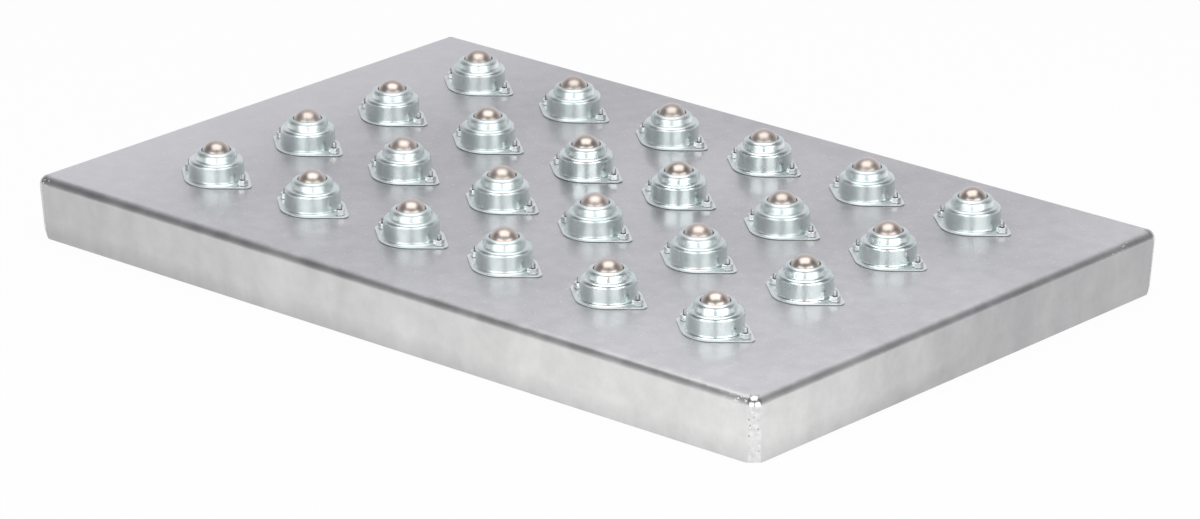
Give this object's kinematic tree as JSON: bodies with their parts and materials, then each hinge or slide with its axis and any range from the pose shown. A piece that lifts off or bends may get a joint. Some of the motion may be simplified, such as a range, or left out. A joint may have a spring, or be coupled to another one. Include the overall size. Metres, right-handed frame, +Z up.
{
  "type": "ball transfer platform",
  "caption": "Shallow folded-steel tray, open underneath, that carries a grid of flanged ball transfer units so a flat load rolls over it in any direction.",
  "frame": {"origin": "middle of the tray's footprint, on the level of the skirts' lower edge", "axes": "+X along the tray's long side, +Y across it, +Z up"},
  "size_m": [0.7082, 0.4616, 0.0794],
  "materials": {
    "tray_sheet": "satin zinc-coated sheet",
    "weld_metal": "ground weld",
    "housing_zinc": "bright zinc plate",
    "ball_steel": "polished",
    "inner_steel": "hardened, bright",
    "fastener_zinc": "bright zinc plate"
  },
  "bodies": {
    "platform": {"tray": "tray_sheet", "corner_welds": "weld_metal", "housing_a1": "housing_zinc", "housing_a2": "housing_zinc", "housing_a3": "housing_zinc", "housing_a4": "housing_zinc", "housing_b1": "housing_zinc", "housing_b2": "housing_zinc", "housing_b3": "housing_zinc", "housing_b4": "housing_zinc", "housing_c1": "housing_zinc", "housing_c2": "housing_zinc", "housing_c3": "housing_zinc", "housing_c4": "housing_zinc", "housing_d1": "housing_zinc", "housing_d2": "housing_zinc", "housing_d3": "housing_zinc", "housing_d4": "housing_zinc", "housing_e1": "housing_zinc", "housing_e2": "housing_zinc", "housing_e3": "housing_zinc", "housing_e4": "housing_zinc", "housing_f1": "housing_zinc", "housing_f2": "housing_zinc", "housing_f3": "housing_zinc", "housing_f4": "housing_zinc", "bearing_bowls": "inner_steel", "support_balls_a": "inner_steel", "support_balls_b": "inner_steel", "support_balls_c": "inner_steel", "support_balls_d": "inner_steel", "support_balls_e": "inner_steel", "support_balls_f": "inner_steel", "screws": "fastener_zinc", "nuts": "fastener_zinc"},
    "load_ball_a1": {"load_ball_a1": "ball_steel"},
    "load_ball_a2": {"load_ball_a2": "ball_steel"},
    "load_ball_a3": {"load_ball_a3": "ball_steel"},
    "load_ball_a4": {"load_ball_a4": "ball_steel"},
    "load_ball_b1": {"load_ball_b1": "ball_steel"},
    "load_ball_b2": {"load_ball_b2": "ball_steel"},
    "load_ball_b3": {"load_ball_b3": "ball_steel"},
    "load_ball_b4": {"load_ball_b4": "ball_steel"},
    "load_ball_c1": {"load_ball_c1": "ball_steel"},
    "load_ball_c2": {"load_ball_c2": "ball_steel"},
    "load_ball_c3": {"load_ball_c3": "ball_steel"},
    "load_ball_c4": {"load_ball_c4": "ball_steel"},
    "load_ball_d1": {"load_ball_d1": "ball_steel"},
    "load_ball_d2": {"load_ball_d2": "ball_steel"},
    "load_ball_d3": {"load_ball_d3": "ball_steel"},
    "load_ball_d4": {"load_ball_d4": "ball_steel"},
    "load_ball_e1": {"load_ball_e1": "ball_steel"},
    "load_ball_e2": {"load_ball_e2": "ball_steel"},
    "load_ball_e3": {"load_ball_e3": "ball_steel"},
    "load_ball_e4": {"load_ball_e4": "ball_steel"},
    "load_ball_f1": {"load_ball_f1": "ball_steel"},
    "load_ball_f2": {"load_ball_f2": "ball_steel"},
    "load_ball_f3": {"load_ball_f3": "ball_steel"},
    "load_ball_f4": {"load_ball_f4": "ball_steel"}
  },
  "joints": [
    {"name": "roll_a1", "type": "hinge", "parent": "platform", "child": "load_ball_a1", "pos_m": [-0.246, -0.14625, 0.0683], "axis": [0, 1, 0], "continuous": true},
    {"name": "roll_a2", "type": "hinge", "parent": "platform", "child": "load_ball_a2", "pos_m": [-0.246, -0.04725, 0.0683], "axis": [0, 1, 0], "continuous": true},
    {"name": "roll_a3", "type": "hinge", "parent": "platform", "child": "load_ball_a3", "pos_m": [-0.246, 0.04725, 0.0683], "axis": [0, 1, 0], "continuous": true},
    {"name": "roll_a4", "type": "hinge", "parent": "platform", "child": "load_ball_a4", "pos_m": [-0.246, 0.14625, 0.0683], "axis": [0, 1, 0], "continuous": true},
    {"name": "roll_b1", "type": "hinge", "parent": "platform", "child": "load_ball_b1", "pos_m": [-0.146, -0.14625, 0.0683], "axis": [0, 1, 0], "continuous": true},
    {"name": "roll_b2", "type": "hinge", "parent": "platform", "child": "load_ball_b2", "pos_m": [-0.146, -0.04725, 0.0683], "axis": [0, 1, 0], "continuous": true},
    {"name": "roll_b3", "type": "hinge", "parent": "platform", "child": "load_ball_b3", "pos_m": [-0.146, 0.04725, 0.0683], "axis": [0, 1, 0], "continuous": true},
    {"name": "roll_b4", "type": "hinge", "parent": "platform", "child": "load_ball_b4", "pos_m": [-0.146, 0.14625, 0.0683], "axis": [0, 1, 0], "continuous": true},
    {"name": "roll_c1", "type": "hinge", "parent": "platform", "child": "load_ball_c1", "pos_m": [-0.046, -0.14625, 0.0683], "axis": [0, 1, 0], "continuous": true},
    {"name": "roll_c2", "type": "hinge", "parent": "platform", "child": "load_ball_c2", "pos_m": [-0.046, -0.04725, 0.0683], "axis": [0, 1, 0], "continuous": true},
    {"name": "roll_c3", "type": "hinge", "parent": "platform", "child": "load_ball_c3", "pos_m": [-0.046, 0.04725, 0.0683], "axis": [0, 1, 0], "continuous": true},
    {"name": "roll_c4", "type": "hinge", "parent": "platform", "child": "load_ball_c4", "pos_m": [-0.046, 0.14625, 0.0683], "axis": [0, 1, 0], "continuous": true},
    {"name": "roll_d1", "type": "hinge", "parent": "platform", "child": "load_ball_d1", "pos_m": [0.046, -0.14625, 0.0683], "axis": [0, 1, 0], "continuous": true},
    {"name": "roll_d2", "type": "hinge", "parent": "platform", "child": "load_ball_d2", "pos_m": [0.046, -0.04725, 0.0683], "axis": [0, 1, 0], "continuous": true},
    {"name": "roll_d3", "type": "hinge", "parent": "platform", "child": "load_ball_d3", "pos_m": [0.046, 0.04725, 0.0683], "axis": [0, 1, 0], "continuous": true},
    {"name": "roll_d4", "type": "hinge", "parent": "platform", "child": "load_ball_d4", "pos_m": [0.046, 0.14625, 0.0683], "axis": [0, 1, 0], "continuous": true},
    {"name": "roll_e1", "type": "hinge", "parent": "platform", "child": "load_ball_e1", "pos_m": [0.146, -0.14625, 0.0683], "axis": [0, 1, 0], "continuous": true},
    {"name": "roll_e2", "type": "hinge", "parent": "platform", "child": "load_ball_e2", "pos_m": [0.146, -0.04725, 0.0683], "axis": [0, 1, 0], "continuous": true},
    {"name": "roll_e3", "type": "hinge", "parent": "platform", "child": "load_ball_e3", "pos_m": [0.146, 0.04725, 0.0683], "axis": [0, 1, 0], "continuous": true},
    {"name": "roll_e4", "type": "hinge", "parent": "platform", "child": "load_ball_e4", "pos_m": [0.146, 0.14625, 0.0683], "axis": [0, 1, 0], "continuous": true},
    {"name": "roll_f1", "type": "hinge", "parent": "platform", "child": "load_ball_f1", "pos_m": [0.246, -0.14625, 0.0683], "axis": [0, 1, 0], "continuous": true},
    {"name": "roll_f2", "type": "hinge", "parent": "platform", "child": "load_ball_f2", "pos_m": [0.246, -0.04725, 0.0683], "axis": [0, 1, 0], "continuous": true},
    {"name": "roll_f3", "type": "hinge", "parent": "platform", "child": "load_ball_f3", "pos_m": [0.246, 0.04725, 0.0683], "axis": [0, 1, 0], "continuous": true},
    {"name": "roll_f4", "type": "hinge", "parent": "platform", "child": "load_ball_f4", "pos_m": [0.246, 0.14625, 0.0683], "axis": [0, 1, 0], "continuous": true}
  ]
}
